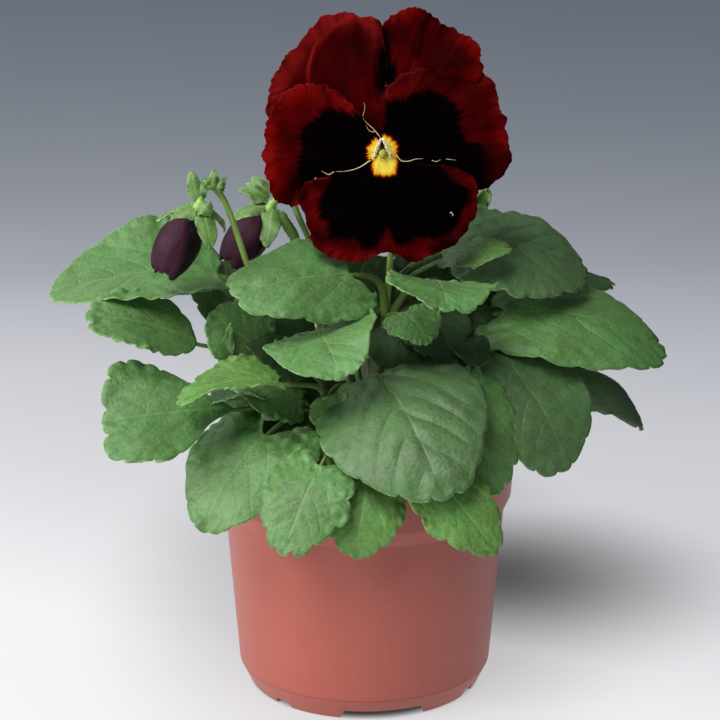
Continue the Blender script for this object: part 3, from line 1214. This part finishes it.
# Eye: a green-yellow stigma between two tufts of pale hairs that meet above it, and the fine cream
# edges of the petals' claws, which run out from it.
HAIRS_IN_TUFT = 170
TUFT_MIDDLE = Vector((EYE.x, -30.6, EYE.z))
STIGMA_MIDDLE = (EYE.x + 0.3, -31.2, EYE.z - 0.6)
STIGMA_RADII = (1.35, 1.3, 1.5, 1)
eye_material, surface, place = new_material("eye_hairs", 0.6)
off_centre = wired(place, "SeparateXYZ", {0: worked_place("SUBTRACT", place, EYE * MM)}).outputs["X"]
off_centre = worked("ABSOLUTE", off_centre)
hair_tone = coated(
    mixed(ranged(off_centre, 0.0026, 0.004), (252, 250, 218), (250, 226, 110)),
    (ranged(off_centre, 0.0046, 0.0056), (206, 196, 160)),
    (worked("MULTIPLY", clouded(place, 1800), 0.3), (230, 190, 90)),
)
feed(surface, {"Base Color": hair_tone, "Subsurface Weight": 0.1, "Subsurface Scale": 0.0005})

stigma_material, surface, place = new_material("stigma", 0.35)
grain = clouded(place, 1500, 3)
feed(surface, {
    "Base Color": mixed(grain, (96, 110, 28), (206, 200, 80)),
    "Normal": raised(grain, 0.5, 0.0002),
})

random.seed(11)
tufts = bmesh.new()
for side in (-1, 1):
    for i in range(HAIRS_IN_TUFT):
        down = random.random()
        root = Vector((0.2 * side + side * 2.3 * down + random.uniform(-0.25, 0.25), 0, 4.3 - 5.6 * down))
        across = Vector((side * random.uniform(0.1, 0.9), 0, -random.uniform(0.1, 1.1)))
        rooted = TUFT_MIDDLE + root
        tip = rooted + across + Vector((0, -random.uniform(0.2, 0.8), 0))
        lean = (tip - rooted).to_track_quat("Z", "Y").to_matrix().to_4x4()
        bmesh.ops.create_cone(tufts, cap_ends=True, segments=5, radius1=random.uniform(0.16, 0.28),
                              radius2=0.04, depth=(tip - rooted).length,
                              matrix=Matrix.Translation(rooted.lerp(tip, 0.5)) @ lean)
show("eye_tufts", tufts, [eye_material], "eye", "bloom_eye")

stigma = bmesh.new()
at_stigma = Matrix.Translation(STIGMA_MIDDLE) @ Matrix.Diagonal(STIGMA_RADII)
bmesh.ops.create_uvsphere(stigma, u_segments=20, v_segments=14, radius=1, matrix=at_stigma)
for corner in stigma.verts:
    corner.co.y += 0.25 * noise.noise(corner.co * 1.4)
show("eye_stigma", stigma, [stigma_material], "eye", "bloom_eye")

CLAW_EDGES = [
    ([(-3.6, -2.6), (-7.5, -5), (-11.5, -6), (-14.5, -6.1)], 0.15),
    ([(-15, -6.2), (-16.6, -7), (-19, -5.9)], 0.12),
    ([(-20.5, -8), (-22.5, -9.6)], 0.1),
    ([(4.4, -0.9), (6, -2.7), (8, -2.9), (10.5, -2.2), (12.8, -2.1)], 0.15),
    ([(15.5, -2.6), (17, -3), (18.4, -2.2)], 0.1),
    ([(20, -2.2), (23, -2.6)], 0.08),
    ([(-0.6, 4.6), (-2.6, 7), (-4.8, 9), (-6, 10.5)], 0.09),
    ([(-2.2, 6.1), (-4, 6.6), (-5, 8.4)], 0.06),
    ([(-6, 11), (-5.4, 13.4), (-5.6, 15.4)], 0.07),
    ([(21.5, -18.9), (22.3, -19.5), (22.2, -20.1)], 0.24),
]
claw_layer = PETALS["lower"]["layer"]
claws = bmesh.new()
for points, thickness in CLAW_EDGES:
    path = [(EYE.x + right, petal_front(right, up, claw_layer) - 0.3, EYE.z + up) for right, up in points]
    add_stalk(claws, path, [1.2 * thickness, thickness, 0.3 * thickness], steps=24, sides=6)
show("eye_claw_edges", claws, [eye_material], "eye", "bloom_petals")


# Buds: rolled petals in a closed spiral, dark purple and satiny, with fine lengthwise veins and a
# ragged tip, nodding on their stalks.
BUD_RADIUS = 7
BUD_PROFILE = [
    (0, BUD_SEAT), (0.3, 0.2), (0.78, 0.34), (1, 0.53), (0.95, 0.73), (0.78, 0.88), (0.58, 0.96),
    (0.44, 0.93), (0, 0.86),
]
BUD_COLUMNS = 96
BUD_RINGS = 44
BUDS = {"bud_left": ("stem_left", 1.25), "bud_rear": ("stem_rear_left", 1.18)}

bud_material, surface, place = new_material("rolled_petals", 0.5)
rolled_place = wired(place, "Attribute", attribute_name="roll").outputs["Vector"]
hollow = wired(place, "Attribute", attribute_name="hollow").outputs["Fac"]
streaks = clouded(stretched(rolled_place, (24, 24, 1.5)), 1, 3)
bud_tone = coated(
    mixed(streaks, (52, 16, 38), (84, 36, 62)),
    (ranged(clouded(place, 160), 0.4, 0.7, 0, 0.5), (54, 20, 32)),
    (hollow, (8, 1, 4)),
)
feed(surface, {
    "Base Color": bud_tone,
    "Normal": raised(streaks, 0.6, 0.0004),
    "Specular IOR Level": 0.2,
    "Sheen Weight": 0.06,
    "Sheen Tint": (0.6, 0.25, 0.45, 1),
})

bud_outline = smooth_path([(radius, 0, height) for radius, height in BUD_PROFILE], BUD_RINGS)
for name, (stem, free_edge) in BUDS.items():
    flower = FLOWER_STALKS[stem]
    axis = Vector(flower["axis"])
    turn = Vector((0, 0, 1)).rotation_difference(axis.normalized())
    facing = turn.inverted() @ Vector((0.15, -1, 0))
    right_hand = turn.inverted() @ Vector((1, 0, 0))
    front = math.atan2(facing.y, facing.x)
    hand = 1 if math.sin(math.atan2(right_hand.y, right_hand.x) - front) > 0 else -1

    def wrap(angle, along):
        """How far round one rolled petal a point is, from its free edge (0) to its hidden one."""
        return (hand * (angle - front) / math.pi - 0.78 * along + free_edge) % 1

    def bud_place(around, along):
        ring = bud_outline[round(along * BUD_RINGS)]
        angle = 2 * math.pi * around
        rolled = wrap(angle, along)
        fold = 0.92 + 0.14 * min(rolled ** 0.7, 14 * (1 - rolled)) + 0.012 * math.cos(9 * angle + 2 * along)
        frayed = Vector((math.cos(angle), math.sin(angle), 5))
        ragged = 1.6 * noise.noise(frayed * 3) + 1.4 * noise.noise(frayed * 7)
        ragged *= soft_step(along, 0.6, 0.78) * soft_step(along, 1.0, 0.84)
        radius = BUD_RADIUS * ring.x * fold
        point = Vector((radius * math.cos(angle), radius * math.sin(angle), axis.length * ring.z + ragged))
        return turn @ point + Vector(flower["stalk"][-1])

    bud = laid_grid(BUD_COLUMNS, BUD_RINGS, bud_place)
    roll = bud.verts.layers.float_vector.new("roll")
    hollow = bud.verts.layers.float.new("hollow")
    for i, corner in enumerate(bud.verts):
        ring, column = divmod(i, BUD_COLUMNS + 1)
        angle = 2 * math.pi * column / BUD_COLUMNS
        corner[roll] = Vector((math.cos(angle), math.sin(angle), 4 * ring / BUD_RINGS))
        corner[hollow] = min(1.25 * math.exp(-2.1 * wrap(angle, ring / BUD_RINGS)), 1)
    closed_up(bud)
    show(name, bud, [bud_material], "bud", name + "_petals")
